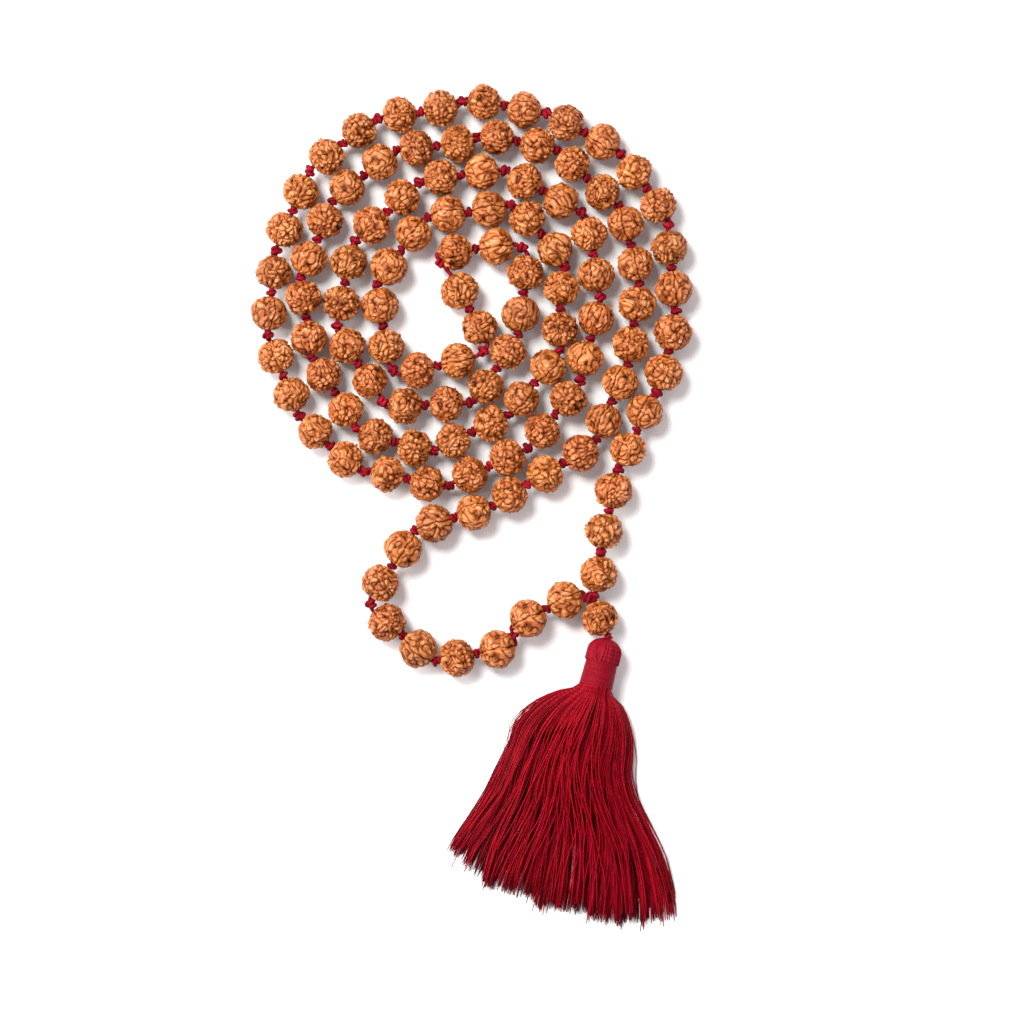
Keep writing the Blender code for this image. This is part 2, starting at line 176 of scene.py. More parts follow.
# Floor, just under the lowest crests. Lamps and camera: places and sizes are shares of the object's length.
FLOOR_DROP = 0.28 * MM
LAMPS = (
    # name, place, size, watts, colour
    ("key", (-1.5, 1.8, 3.6), 1.7, 7.6, (1.0, 0.99, 0.965)),
    ("side", (-3.4, 0.6, 1.9), 2.2, 4.6, (1.0, 0.99, 0.97)),
    ("fill", (2.4, -1.2, 3.0), 2.6, 0.8, (0.98, 0.97, 1.0)),
)
ROOM_COLOUR = (1.0, 0.95, 0.965, 1.0)
ROOM_STRENGTH = 0.68
PICTURE_SIDE = 1.2203
CAMERA_ASIDE = (0.0484, -0.0109)
LENS = 100.0
SENSOR = 36.0

# Screen colours from 0 to 255: dark, middle and light threads; the dark end also carries painted shade in ply
# grooves, low in the skirt and on the cores.
CORD_RED = (52, 1, 8), (108, 4, 20), (160, 18, 38)
HEAD_RED = (76, 2, 15), (124, 7, 26), (164, 24, 45)
BINDING_RED = (76, 3, 15), (125, 7, 26), (162, 24, 45)
SKIRT_RED = (30, 0, 3), (111, 0, 14), (171, 7, 31)

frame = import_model()
cad_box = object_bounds()


# ---------------------------------------------------------------- where things are, from the frame

def joint_named(name):
    return next(joint for joint in frame["joints"] if joint["name"] == name)


def corners_of(node):
    """The points of a CAD node."""
    points = np.empty(len(frame["nodes"][node].data.vertices) * 3, np.float32)
    frame["nodes"][node].data.vertices.foreach_get("co", points)
    return points.reshape(-1, 3).astype(float)


def unit(vector):
    return vector / np.linalg.norm(vector)


class Group:
    """One body of the strand: its seeds, their bore, and the cord body that it turns on."""

    def __init__(self, joint):
        self.body = joint["child"]
        self.cord_body = joint["parent"]
        numbers = [int(part) for part in self.body.split("_")[1:]]
        self.first, self.last = numbers[0], numbers[-1]
        self.node = frame["record"]["behaviour"]["bodies"][self.body][0]
        self.way = unit(np.array(joint["axis"], float))
        self.middle = np.array(joint["pos_m"], float)
        reach = (corners_of(self.node) - self.middle) @ self.way
        self.half_extent = reach.max()

    def seeds(self, pitch):
        """(number, centre) of each seed."""
        count = self.last - self.first + 1
        for i in range(count):
            yield self.first + i, self.middle + (i - (count - 1) / 2) * pitch * self.way


def read_groups():
    groups = [Group(joint) for joint in frame["joints"] if joint["name"].startswith("turn_")]
    return sorted(groups, key=lambda group: group.first)


groups = read_groups()
seed_half_length = groups[0].half_extent
seed_pitch = 2 * (groups[1].half_extent - seed_half_length)
guru_joint = joint_named("guru_turn")
guru_centre = np.array(guru_joint["pos_m"], float)
guru_way = unit(np.array(guru_joint["axis"], float))
tassel_top = np.array(joint_named("swing_tassel")["pos_m"], float)
skirt_pivot = np.array(joint_named("lift_skirt")["pos_m"], float)
axis_height = float(guru_centre[2])


# ---------------------------------------------------------------- meshes and fields

def mesh_of(name, points, faces):
    mesh = bpy.data.meshes.new(name)
    mesh.from_pydata(points.tolist(), [], faces)
    mesh.shade_smooth()
    return mesh


def store(mesh, name, values):
    """Keeps one number, or one vector, for each point of the mesh."""
    values = np.asarray(values, np.float32)
    kind = "FLOAT" if values.ndim == 1 else "FLOAT_VECTOR"
    attribute = mesh.attributes.new(name, kind, "POINT")
    attribute.data.foreach_set("value" if values.ndim == 1 else "vector", values.ravel())


def show(name, mesh, finish, body, replaced, place=None):
    """Adds a piece that rides on a body; with body None it stays on no body."""
    piece = bpy.data.objects.new(name, mesh)
    bpy.context.scene.collection.objects.link(piece)
    if not mesh.materials:
        mesh.materials.append(finish)
    if place is not None:
        piece.matrix_world = place
    if body is not None:
        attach(piece, body)
    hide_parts(*replaced)
    return piece


def wave_field(rng, places, length, spread, count, stretch=(1.0, 1.0, 1.0)):
    """Plane waves of nearly one length added up: its zero lines wander like the crevices of a seed."""
    ways = rng.normal(size=(count, 3)) * stretch
    ways /= np.linalg.norm(ways, axis=1)[:, None]
    numbers = 2 * math.pi / length * rng.uniform(1 - spread, 1 + spread, count)
    phases = rng.uniform(0, 2 * math.pi, count)
    return np.cos(places @ (ways * numbers[:, None]).T + phases).sum(axis=1) * math.sqrt(2 / count)


def rounded(field, full):
    """Rounded ridges from 0 to 1, with sharp crevices along the field's zero lines."""
    return 1 - (1 - np.clip(np.abs(field) / full, 0, 1)) ** 2


def smooth_steps(value):
    value = np.clip(value, 0, 1)
    return value * value * (3 - 2 * value)


def torus_faces(rows, columns):
    """Quads that close a grid of rows and columns on itself both ways."""
    row, column = np.meshgrid(np.arange(rows), np.arange(columns), indexing="ij")
    after_row, after_column = (row + 1) % rows, (column + 1) % columns
    corners = (
        row * columns + column, row * columns + after_column,
        after_row * columns + after_column, after_row * columns + column,
    )
    return np.stack([corner.ravel() for corner in corners], axis=1).tolist()


def lengths_along(paths):
    """Distance from the start of each path to each of its points."""
    steps = np.linalg.norm(np.diff(paths, axis=1), axis=2)
    return np.concatenate([np.zeros((len(paths), 1)), np.cumsum(steps, axis=1)], axis=1)


def tube_rings(paths, radii, angles):
    """Rings of points round the paths; their frames are carried along without twisting."""
    count, length, _ = paths.shape
    tangents = np.gradient(paths, axis=1)
    tangents /= np.linalg.norm(tangents, axis=2)[:, :, None]
    side = np.cross(tangents[:, 0], np.array([0.31, 0.17, 0.93]))
    rings = np.empty((count, length, len(angles), 3))
    for i in range(length):
        tangent = tangents[:, i]
        side = side - (side * tangent).sum(axis=1)[:, None] * tangent
        side /= np.linalg.norm(side, axis=1)[:, None]
        up = np.cross(tangent, side)
        turned = side[:, None] * np.cos(angles)[None, :, None] + up[:, None] * np.sin(angles)[None, :, None]
        rings[:, i] = paths[:, i, None] + radii[:, i, :, None] * turned
    return rings


def tube_faces(start, count, length, sides):
    """Quads along each tube, and a cap at each of its ends."""
    ring, corner = np.meshgrid(np.arange(length - 1), np.arange(sides), indexing="ij")
    after = (corner + 1) % sides
    quads = np.stack([
        ring * sides + corner, ring * sides + after, (ring + 1) * sides + after, (ring + 1) * sides + corner,
    ], axis=-1).reshape(-1, 4)
    faces = []
    for k in range(count):
        base = start + k * length * sides
        faces += (quads + base).tolist()
        faces.append([base + corner for corner in range(sides)][::-1])
        faces.append([base + (length - 1) * sides + corner for corner in range(sides)])
    return faces


def tube_mesh(name, bundles):
    """One mesh of closed tubes. A bundle is (paths, radii, sides, tones).

    Paths are (n, m, 3), radii (n, m) or (n, m, sides), and tones one number for each path.
    """
    points, faces, tones, alongs, arounds = [], [], [], [], []
    start = 0
    for paths, radii, sides, shades in bundles:
        count, length, _ = paths.shape
        if radii.ndim == 2:
            radii = radii[:, :, None]
        angles = 2 * math.pi * np.arange(sides) / sides
        points.append(tube_rings(paths, radii, angles).reshape(-1, 3))
        tones.append(np.repeat(shades, length * sides))
        alongs.append(np.repeat(lengths_along(paths).ravel(), sides))
        arounds.append(np.tile(angles, count * length))
        faces += tube_faces(start, count, length, sides)
        start += count * length * sides
    mesh = mesh_of(name, np.concatenate(points), faces)
    store(mesh, "tone", np.concatenate(tones))
    store(mesh, "along", np.concatenate(alongs))
    store(mesh, "around", np.concatenate(arounds))
    return mesh


# ---------------------------------------------------------------- finishes

class Finish:
    """A node material under construction round its Principled shader."""

    def __init__(self, name):
        self.material = bpy.data.materials.new(name)
        self.material.use_nodes = True
        self.nodes = self.material.node_tree.nodes
        self.shader = self.nodes["Principled BSDF"]

    def add(self, kind, settings=None, **inputs):
        """A node; an input is a value or another node's socket, named with _ for a space."""
        node = self.nodes.new("ShaderNode" + kind)
        for key, value in (settings or {}).items():
            setattr(node, key, value)
        for key, value in inputs.items():
            self.feed(node.inputs[key.replace("_", " ")], value)
        return node

    def feed(self, socket, value):
        if isinstance(value, bpy.types.NodeSocket):
            self.material.node_tree.links.new(value, socket)
        else:
            socket.default_value = value

    def read(self, name, kind="GEOMETRY", output="Fac"):
        """A number or vector kept on the mesh, or with kind OBJECT on the piece."""
        node = self.add("Attribute", {"attribute_name": name, "attribute_type": kind})
        return node.outputs[output]

    def maths(self, operation, a, b=0.0, clamp=False):
        node = self.add("Math", {"operation": operation, "use_clamp": clamp})
        self.feed(node.inputs[0], a)
        self.feed(node.inputs[1], b)
        return node.outputs[0]

    def noise(self, place, scale, detail, roughness=0.55):
        node = self.add("TexNoise", Vector=place, Scale=scale, Detail=detail, Roughness=roughness)
        return node.outputs["Fac"]

    def ramp(self, value, stops):
        """A colour for each value; a stop is (value, linear colour)."""
        node = self.add("ValToRGB", Fac=value)
        ramp = node.color_ramp
        ramp.interpolation = "EASE"
        while len(ramp.elements) < len(stops):
            ramp.elements.new(0.5)
        for element, (at, colour) in zip(ramp.elements, stops):
            element.position = at
            element.color = (*colour, 1.0)
        return node.outputs["Color"]

    def tinted(self, colour, brightness, hue):
        node = self.add("HueSaturation", Color=colour, Value=brightness, Hue=hue)
        return node.outputs["Color"]

    def raised(self, height, distance, strength):
        node = self.add("Bump", Height=height, Distance=distance, Strength=strength)
        return node.outputs["Normal"]

    def shade(self, **inputs):
        """Sets the shader's inputs and gives the finished material."""
        for key, value in inputs.items():
            self.feed(self.shader.inputs[key.replace("_", " ")], value)
        return self.material


def screen(red, green, blue):
    """Linear colour of a screen colour given from 0 to 255."""
    return tuple(
        c / 12.92 if c <= 0.04045 else ((c + 0.055) / 1.055) ** 2.4
        for c in (red / 255, green / 255, blue / 255)
    )


def seed_finish():
    """Dried seed: pale rubbed crests that shine, orange-brown sides, and dark crevices, whose darkness is
    partly the seed's own colour and partly painted shade.
    """
    finish = Finish("rudraksha")
    place = finish.read("place", output="Vector")
    depth = finish.read("depth")
    tone = finish.read("tone", "OBJECT")
    redness = finish.read("redness", "OBJECT")
    blotch = finish.noise(place, 0.55, 2.0)
    grain = finish.noise(place, 7.0, 4.0, 0.6)
    blotched = finish.maths("MULTIPLY", finish.maths("SUBTRACT", blotch, 0.5), 0.35)
    grained = finish.maths("MULTIPLY", finish.maths("SUBTRACT", grain, 0.5), 0.2)
    wear_and_shade = finish.maths("ADD", finish.maths("ADD", depth, blotched), grained, True)
    # Colour from pale crests to dark crevices: the dark end is partly the seed's own colour and partly
    # painted shade in the crevices, lines, hole rim and bore.
    colour = finish.ramp(wear_and_shade, (
        (0.0, screen(196, 122, 60)), (0.3, screen(183, 103, 40)), (0.62, screen(153, 77, 23)),
        (0.86, screen(106, 50, 13)), (1.0, screen(54, 23, 6)),
    ))
    hue = finish.maths("ADD", finish.maths("MULTIPLY", redness, 0.0035), 0.5)
    brightness = finish.maths("ADD", finish.maths("MULTIPLY", tone, 0.1), 1.0)
    colour = finish.tinted(colour, brightness, hue)
    roughness = finish.maths("ADD", finish.maths("MULTIPLY", wear_and_shade, 0.4), 0.14)
    roughness = finish.maths("ADD", roughness, finish.maths("MULTIPLY", grain, 0.12))
    shine = finish.maths("SUBTRACT", 1.0, wear_and_shade)
    fine = finish.noise(place, 2.4, 5.0, 0.68)
    return finish.shade(
        Base_Color=colour, Roughness=roughness, Specular_IOR_Level=shine,
        Normal=finish.raised(fine, 0.42 * MM, 0.6),
    )


def thread_finish(name, colours, roughness, pitch, depth, sheen):
    """Twisted cotton: each thread has its own tone, and its plies run round it in slanting ridges, with
    painted shade in the grooves between them.
    """
    finish = Finish(name)
    dark, middle, light = (screen(*colour) for colour in colours)
    tone = finish.read("tone")
    along = finish.read("along")
    around = finish.read("around")
    turn = finish.maths("MULTIPLY", along, 2 * math.pi / pitch)
    plies = finish.maths("SINE", finish.maths("ADD", turn, finish.maths("MULTIPLY", around, 2.0)))
    lifted = finish.maths("ADD", finish.maths("MULTIPLY", plies, 0.5), 0.5)

    # Uneven dye along a thread, different on threads of different tone.
    far, which = finish.maths("MULTIPLY", along, 420.0), finish.maths("MULTIPLY", tone, 37.0)
    patch = finish.noise(finish.add("CombineXYZ", X=far, Y=which).outputs["Vector"], 1.0, 3.0)
    # Ply ridges lighter and the grooves between them darker: painted shade in the grooves.
    mix = finish.maths("ADD", finish.maths("MULTIPLY", lifted, 0.22), finish.maths("MULTIPLY", tone, 0.55))
    mix = finish.maths("ADD", mix, finish.maths("MULTIPLY", patch, 0.42))
    colour = finish.ramp(mix, ((0.28, dark), (0.56, middle), (0.93, light)))

    fuzz = finish.noise(finish.add("NewGeometry").outputs["Position"], 5200.0, 3.0, 0.7)
    height = finish.maths("ADD", lifted, finish.maths("MULTIPLY", fuzz, 0.5))
    return finish.shade(
        Base_Color=colour, Roughness=roughness, Specular_IOR_Level=0.08,
        Sheen_Weight=sheen, Sheen_Roughness=0.45, Sheen_Tint=(*light, 1.0),
        Normal=finish.raised(height, depth, 0.8),
    )


# ---------------------------------------------------------------- seeds

class SeedKind(NamedTuple):
    """What the meshes of one kind are drawn from: ranges, lengths in millimetres, and a stretch of ridges."""

    ridge_length: tuple
    stretch: tuple
    knobbiness: tuple
    relief: tuple
    line_share: tuple


KNOBBLY = SeedKind((1.75, 2.2), (1.0, 1.0, 1.0), (0.55, 0.85), (0.62, 0.78), (0.1, 0.5))
LINED = SeedKind((1.9, 2.3), (0.5, 1.0, 1.0), (0.4, 0.6), (0.52, 0.62), (0.8,))


def seed_grid(start):
    """Angle from the near pole, turn about the bore, and direction, for each point of a seed's skin."""
    angles = np.linspace(start, math.pi - start, SEED_ROWS)
    turns = 2 * math.pi * np.arange(SEED_COLUMNS) / SEED_COLUMNS
    angle, turn = (grid.ravel() for grid in np.meshgrid(angles, turns, indexing="ij"))
    ways = np.stack([-np.cos(angle), np.sin(angle) * np.cos(turn), np.sin(angle) * np.sin(turn)], axis=1)
    return angle, turn, ways


def ridge_height(rng, places, kind):
    """From 0 in the crevices to about 1: wandering ridges that a finer field breaks into knobs."""
    length = rng.uniform(*kind.ridge_length) * MM
    ridges = rounded(wave_field(rng, places, length, 0.18, 36, kind.stretch), 1.5)
    knobs = rounded(wave_field(rng, places, length * rng.uniform(0.8, 0.95), 0.25, 36), 1.3)
    knobbiness = rng.uniform(*kind.knobbiness)
    uneven = 1 + 0.22 * wave_field(rng, places, 3.2 * MM, 0.3, 20)
    height = ridges * (1 - knobbiness + knobbiness * knobs) * uneven
    return np.clip(height / np.quantile(height, 0.96), 0, 1.1)


def pole_lines(rng, angle, turn):
    """The turn of the first line, and how close each point is to a line and to the lips beside it."""
    first = rng.uniform(0, 2 * math.pi)
    wobble = 0.05 * np.sin(3 * angle + rng.uniform(0, 6)) + 0.03 * np.sin(7 * angle + rng.uniform(0, 6))
    sector = 2 * math.pi / FACES_OF_SEED
    away = (turn - first - wobble + sector / 2) % sector - sector / 2
    distance = np.abs(away) * np.sin(angle) * CREST_RADIUS
    line = np.exp(-((distance / LINE_WIDTH) ** 2))
    lip = np.exp(-(((distance - LIP_OFFSET) / LIP_WIDTH) ** 2))
    return first, line, lip


def hole_wall(points):
    """Rows of points along the hole, back from its far rim to the near one."""
    far, near = points[-SEED_COLUMNS:], points[:SEED_COLUMNS]
    rows = []
    for k in range(1, BORE_ROWS + 1):
        share = k / (BORE_ROWS + 1)
        row = far * (1 - share) + near * share
        across = np.linalg.norm(row[:, 1:], axis=1)
        row[:, 1:] *= (HOLE_RADIUS / across)[:, None]
        rows.append(row)
    return np.concatenate(rows)


def seed_mesh(name, seed, kind):
    """A drilled rudraksha, and the turn of its first line from pole to pole."""
    rng = np.random.default_rng(seed)
    start = math.asin(HOLE_RADIUS / CREST_RADIUS)
    angle, turn, ways = seed_grid(start)
    crest = 1 / np.sqrt((ways[:, 0] / CREST_HALF_LENGTH) ** 2 + (1 - ways[:, 0] ** 2) / CREST_RADIUS**2)

    # Ridges, with the lines cut across them.
    places = ways * CREST_RADIUS
    drift = np.stack([wave_field(rng, places, 4.5 * MM, 0.4, 12) for _ in range(3)], axis=1)
    places = places + RIDGE_DRIFT * drift
    height = ridge_height(rng, places, kind)
    first, line, lip = pole_lines(rng, angle, turn)
    line_share = rng.uniform(*kind.line_share) if len(kind.line_share) > 1 else kind.line_share[0]
    height = height * (1 - 0.4 * line_share * lip) + 0.36 * line_share * lip
    height = height * (1 - line_share * line)

    # Fine wrinkles, a broad unevenness, and a smooth rim round the hole.
    wrinkle = wave_field(rng, places, WRINKLE_LENGTH, 0.25, 30)
    relief = rng.uniform(*kind.relief) * MM
    broad = wave_field(rng, ways * CREST_RADIUS, 7.0 * MM, 0.3, 8)
    sink = relief * (1 - height) + WRINKLE_DEPTH * np.clip(wrinkle + 1, 0, 3) * (0.3 + 0.7 * height)
    sink += WRINKLE_DEPTH * np.clip(broad + 0.6, 0, 3) + LINE_DEPTH * line_share * line
    towards_hole = np.exp(-(np.minimum(angle, math.pi - angle) - start) / RIM_REACH)
    sink = sink * (1 - towards_hole) + RIM_SINK * towards_hole
    points = ways * (crest - sink)[:, None]
    # depth sets the colour: darker in the crevices, wrinkle hollows and lines, partly as painted shade, and
    # darker towards the hole as painted shade on the sunken rim.
    depth = np.clip(1 - height + 0.1 * np.clip(-wrinkle, 0, 2) + 0.35 * line_share * line, 0, 1)
    depth = depth * (1 - towards_hole) + 0.8 * towards_hole

    points = np.concatenate([points, hole_wall(points)])
    # Inside the hole the seed gets its darkest colour, as painted shade in the bore.
    depth = np.concatenate([depth, np.full(BORE_ROWS * SEED_COLUMNS, 1.0)])
    mesh = mesh_of(name, points, torus_faces(SEED_ROWS + BORE_ROWS, SEED_COLUMNS))
    store(mesh, "depth", depth)
    store(mesh, "place", points / MM)
    return mesh, first


def bore_frame(centre, way, spin, reverse, size):
    """Places a seed with its bore along way, turned about it by spin."""
    side = np.cross([0, 0, 1], way)
    turned = Matrix(((way[0], side[0], 0), (way[1], side[1], 0), (0, 0, 1))).to_4x4()
    flip = Matrix.Rotation(math.pi if reverse else 0, 4, "Z")
    return (
        Matrix.Translation(Vector(centre)) @ turned @ Matrix.Rotation(spin, 4, "X") @ flip
        @ Matrix.Diagonal((size, size, size, 1))
    )


def seed_sizes(centres):
    """A seed is smaller where its nearest neighbour lies close, so that the two just touch."""
    apart = np.linalg.norm(centres[:, None] - centres[None], axis=2)
    np.fill_diagonal(apart, np.inf)
    return np.clip((apart.min(axis=1) / 2 + TOUCH) / CREST_RADIUS, SMALLEST_SIZE, 1)


def build_seeds():
    finish = seed_finish()
    rng = np.random.default_rng(108)
    knobbly = [seed_mesh(f"knobbly_seed_{i}", 10 + i, KNOBBLY) for i in range(KNOBBLY_MESHES)]
    lined = [seed_mesh(f"lined_seed_{i}", 40 + i, LINED) for i in range(LINED_MESHES)]
    holders = [(group.body, group.node, number, centre, group.way)
               for group in groups for number, centre in group.seeds(seed_pitch)]
    holders.append((guru_joint["child"], "guru_bead", 0, guru_centre, guru_way))
    sizes = seed_sizes(np.array([holder[3] for holder in holders]))
    sizes[-1] = min(sizes[-1], GURU_SIZE)
    for (body, node, number, centre, way), size in zip(holders, sizes):
        showing = number in SHOWN_LINES
        kinds = lined if showing or (number > 0 and rng.random() < LINED_SHARE) else knobbly
        mesh, line = kinds[rng.integers(len(kinds))]
        reverse = bool(rng.integers(2)) and not showing
        spin = rng.uniform(0, 2 * math.pi)
        if showing:
            spin = math.pi / 2 - line + rng.uniform(-SHOWN_TURN, SHOWN_TURN)
        name = f"rudraksha_{number:03d}" if number else "rudraksha_guru"
        place = bore_frame(centre, way, spin, reverse, size * (1 - rng.uniform(0, SIZE_SPREAD)))
        piece = show(name, mesh, finish, body, [node], place)
        piece["tone"] = float(rng.normal(0, 0.5))
        piece["redness"] = float(rng.normal(0, 0.35))


# ---------------------------------------------------------------- cord

def cord_curve(leaving, leaving_way, entering, entering_way, shares):
    """Points on the cord between two bores, which leaves both of them straight."""
    handle = HANDLE_SHARE * np.linalg.norm(entering - leaving)
    corners = (leaving, leaving + handle * leaving_way, entering - handle * entering_way, entering)
    return np.array([
        sum(math.comb(3, k) * share**k * (1 - share) ** (3 - k) * corner for k, corner in enumerate(corners))
        for share in shares
    ])


def ply_radii(paths, radius, sides):
    """Two plies twisted round each other: the radius swells twice round each turn of the cord."""
    around = 2 * math.pi * np.arange(sides) / sides
    swell = np.abs(np.cos(around[None, None] + math.pi * lengths_along(paths)[:, :, None] / PLY_PITCH))
    return radius * (1 - PLY_DEPTH + PLY_DEPTH * 1.6 * swell)


class Strand:
    """Collects the tubes of one cord body."""

    def __init__(self, seed):
        self.rng = np.random.default_rng(seed)
        self.bundles = []

    def tone(self):
        return self.rng.uniform(0.35, 0.75, 1)

    def run(self, points, radius=CORD_RADIUS):
        paths = np.array(points, float)[None]
        self.bundles.append((paths, ply_radii(paths, radius, CORD_SIDES), CORD_SIDES, self.tone()))

    def knot(self, centre, way, size=1.0):
        """An overhand knot: the cord wound round itself on a slant, with both ends tucked in."""
        side = unit(np.cross([0.0, 0.0, 1.0], way))
        up = np.cross(way, side)
        share = np.linspace(-1, 1, KNOT_POINTS)
        turn = share * math.pi * KNOT_TURNS + self.rng.uniform(0, 2 * math.pi)
        tuck = np.clip((1 - np.abs(share)) / KNOT_TUCK, 0, 1) ** 0.7
        lift = KNOT_WRAP_RADIUS * (0.35 + 0.65 * tuck) * (1 + 0.07 * np.sin(3 * turn))
        rise = KNOT_RISE * share + KNOT_SLANT * np.sin(turn + self.rng.uniform(0, 6))
        path = centre + size * (
            rise[:, None] * way + (lift * np.cos(turn))[:, None] * side + (lift * np.sin(turn))[:, None] * up
        )
        radii = ply_radii(path[None], KNOT_STRAND_RADIUS * size, CORD_SIDES)
        radii = radii * (0.6 + 0.4 * tuck)[None, :, None]
        self.bundles.append((path[None], radii, CORD_SIDES, self.tone()))

    def piece(self, name, body, finish, node):
        show(name, tube_mesh(name, self.bundles), finish, body, [node])


def bore_points(group):
    """The cord through the bores of one group, from mouth to mouth."""
    seeds = [centre for _, centre in group.seeds(seed_pitch)]
    reach = (seed_half_length + MOUTH_CLEARANCE) * group.way
    share = np.linspace(0, 1, POINTS_IN_SEED * len(seeds))[:, None]
    return (seeds[0] - reach) * (1 - share) + (seeds[-1] + reach) * share


def gap_points(before, after):
    """The cord from one group's bore to the next; its middle is point GAP_MIDDLE - 1."""
    shares = np.linspace(0, 1, 2 * GAP_MIDDLE + 1)[1:-1]
    return cord_curve(bore_points(before)[-1], before.way, bore_points(after)[0], after.way, shares)


def knot_gap(strand, points):
    """A knot in the middle of a gap, a little larger where the gap is wide."""
    middle = GAP_MIDDLE - 1
    way = unit(points[middle + 1] - points[middle - 1])
    span = np.linalg.norm(np.diff(points, axis=0), axis=1).sum()
    strand.knot(points[middle], way, np.clip(span / USUAL_GAP, 1, LARGE_KNOT))


def arm_points(members, strand):
    """The cord through a run of groups on one cord body, knotting every gap on the way."""
    pieces = []
    for i, group in enumerate(members):
        pieces.append(bore_points(group))
        seeds = [centre for _, centre in group.seeds(seed_pitch)]
        for one, other in zip(seeds, seeds[1:]):
            strand.knot((one + other) / 2, group.way)
        if i < len(members) - 1:
            gap = gap_points(group, members[i + 1])
            knot_gap(strand, gap)
            pieces.append(gap)
    return np.concatenate(pieces)


def build_cords(finish):
    """The cord runs through every bore, with a knot in every gap; the two hinge knots belong to the coil."""
    coil, tail = Strand(1), Strand(2)
    coiled = [group for group in groups if group.cord_body == "coil_cord"]
    right = [group for group in groups if group.last < coiled[0].first]
    left = [group for group in groups if group.first > coiled[-1].last]
    first_gap, last_gap = gap_points(right[-1], coiled[0]), gap_points(coiled[-1], left[0])
    for gap in (first_gap, last_gap):
        knot_gap(coil, gap)
    coil.run(np.concatenate([
        first_gap[GAP_MIDDLE - 1:], arm_points(coiled, coil), last_gap[:GAP_MIDDLE],
    ]))

    # The arms meet above the guru bead, where they are tied with one knot beside the other.
    fork = guru_centre - (seed_half_length + FORK_REACH) * guru_way
    right_arm, left_arm = arm_points(right, tail), arm_points(left, tail)
    shares = np.linspace(0, 1, FORK_POINTS + 1)[1:]
    into_right = cord_curve(fork, right[0].way, right_arm[0], right[0].way, shares)
    into_fork = cord_curve(left_arm[-1], left[-1].way, fork, left[-1].way, shares)
    tail.run(np.concatenate([into_right[:-1], right_arm, first_gap[:GAP_MIDDLE]]))
    tail.run(np.concatenate([last_gap[GAP_MIDDLE - 1:], left_arm, into_fork]))
    for mouth in (right_arm[0], left_arm[-1]):
        way = unit(mouth - fork)
        tail.knot(fork + FORK_KNOT_REACH * way, way, LARGE_KNOT)

    # The doubled cord runs through the guru bead to the knot that the tassel hangs on.
    stem = np.linspace(0, 1, STEM_POINTS)[:, None]
    foot = tassel_top + STEM_FOOT * guru_way
    tail.run(fork * (1 - stem) + foot * stem, STEM_RADIUS)
    tail.knot(tassel_top, guru_way, TIE_KNOT)
    coil.piece("cord_of_the_coil", "coil_cord", finish, "cord_coil")
    tail.piece("cord_of_the_tail", "tail_cord", finish, "cord_tail")


# ---------------------------------------------------------------- tassel

class TasselFrame:
    """Distances down the tassel, across it to the right, and up, from the point where it hangs."""

    def __init__(self):
        self.top = tassel_top
        self.down = unit(skirt_pivot - tassel_top)
        self.across = np.array([-self.down[1], self.down[0], 0.0])
        self.up = np.array([0.0, 0.0, 1.0])

    def world(self, down, across, up):
        return (
            self.top + np.asarray(down)[..., None] * self.down + np.asarray(across)[..., None] * self.across
            + np.asarray(up)[..., None] * self.up
        )

    def local(self, points):
        apart = points - self.top
        return apart @ self.down, apart @ self.across, apart @ self.up

    def reach(self, node):
        """How far down the tassel a CAD node starts and ends."""
        down, _, _ = self.local(corners_of(node))
        return down.min(), down.max()

    def half_width(self, node):
        return np.abs(self.local(corners_of(node))[1]).max()

    def core(self, down, radii):
        """A straight tube down the middle, for tube_mesh."""
        middle = np.zeros(len(down))
        return self.world(down, middle, middle)[None], radii[None]


def build_head(tassel, finish):
    """Threads folded over the top of the tassel, side by side, down into the binding."""
    rng = np.random.default_rng(5)
    binding_top, _ = tassel.reach("tassel_binding")
    widest = 0.96 * tassel.half_width("tassel_head")
    span = binding_top - RIM_LIFT + HEAD_TUCK - HEAD_TOP
    share = np.linspace(0, 1, 26)

    # A rounded fold, a long cheek, and a wavy lower rim that tucks in over the binding.
    cheek = 1 - (1 - np.clip(share / 0.55, 0, 1)) ** 2.1
    radius = np.maximum(widest * cheek**0.6, 0.25 * MM)
    turns = 2 * math.pi * (np.arange(HEAD_THREADS) + rng.uniform(-0.25, 0.25, HEAD_THREADS)) / HEAD_THREADS
    sway = 0.05 * np.sin(2.5 * share[None] * math.pi + rng.uniform(0, 6, HEAD_THREADS)[:, None])
    turn = turns[:, None] + sway * share[None]
    rim = 0.9 + 0.035 * np.sin(2 * turns + 1) + 0.02 * np.sin(5 * turns)
    rim = rim + rng.uniform(-0.012, 0.012, HEAD_THREADS)
    tuck = (0.32 + 0.14 * np.cos(turns))[:, None] * MM * smooth_steps((share[None] - rim[:, None]) / 0.07)
    lift = radius[None] - tuck + rng.uniform(-0.05, 0.05, HEAD_THREADS)[:, None] * MM
    down = HEAD_TOP + span * share[None] + np.zeros_like(turn)
    paths = tassel.world(down, lift * np.cos(turn), lift * np.sin(turn))
    radii = np.full(paths.shape[:2], HEAD_THREAD_RADIUS) * (0.55 + 0.45 * np.minimum(1, lift / (1.6 * MM)))
    tones = rng.uniform(0.2, 0.9, HEAD_THREADS)

    tucked = 0.5 * MM * smooth_steps((share - 0.86) / 0.08)
    core_radii = np.maximum(radius - HEAD_CORE_GAP - tucked, 0.2 * MM)
    core, core_radii = tassel.core(HEAD_TOP + span * share, core_radii)
    # The core takes a dark tone: painted shade where it shows between the threads.
    mesh = tube_mesh("folded_threads", [(paths, radii, 5, tones), (core, core_radii, 24, np.array([0.2]))])
    show("tassel_folded_threads", mesh, finish, "tassel_neck", ["tassel_head"])


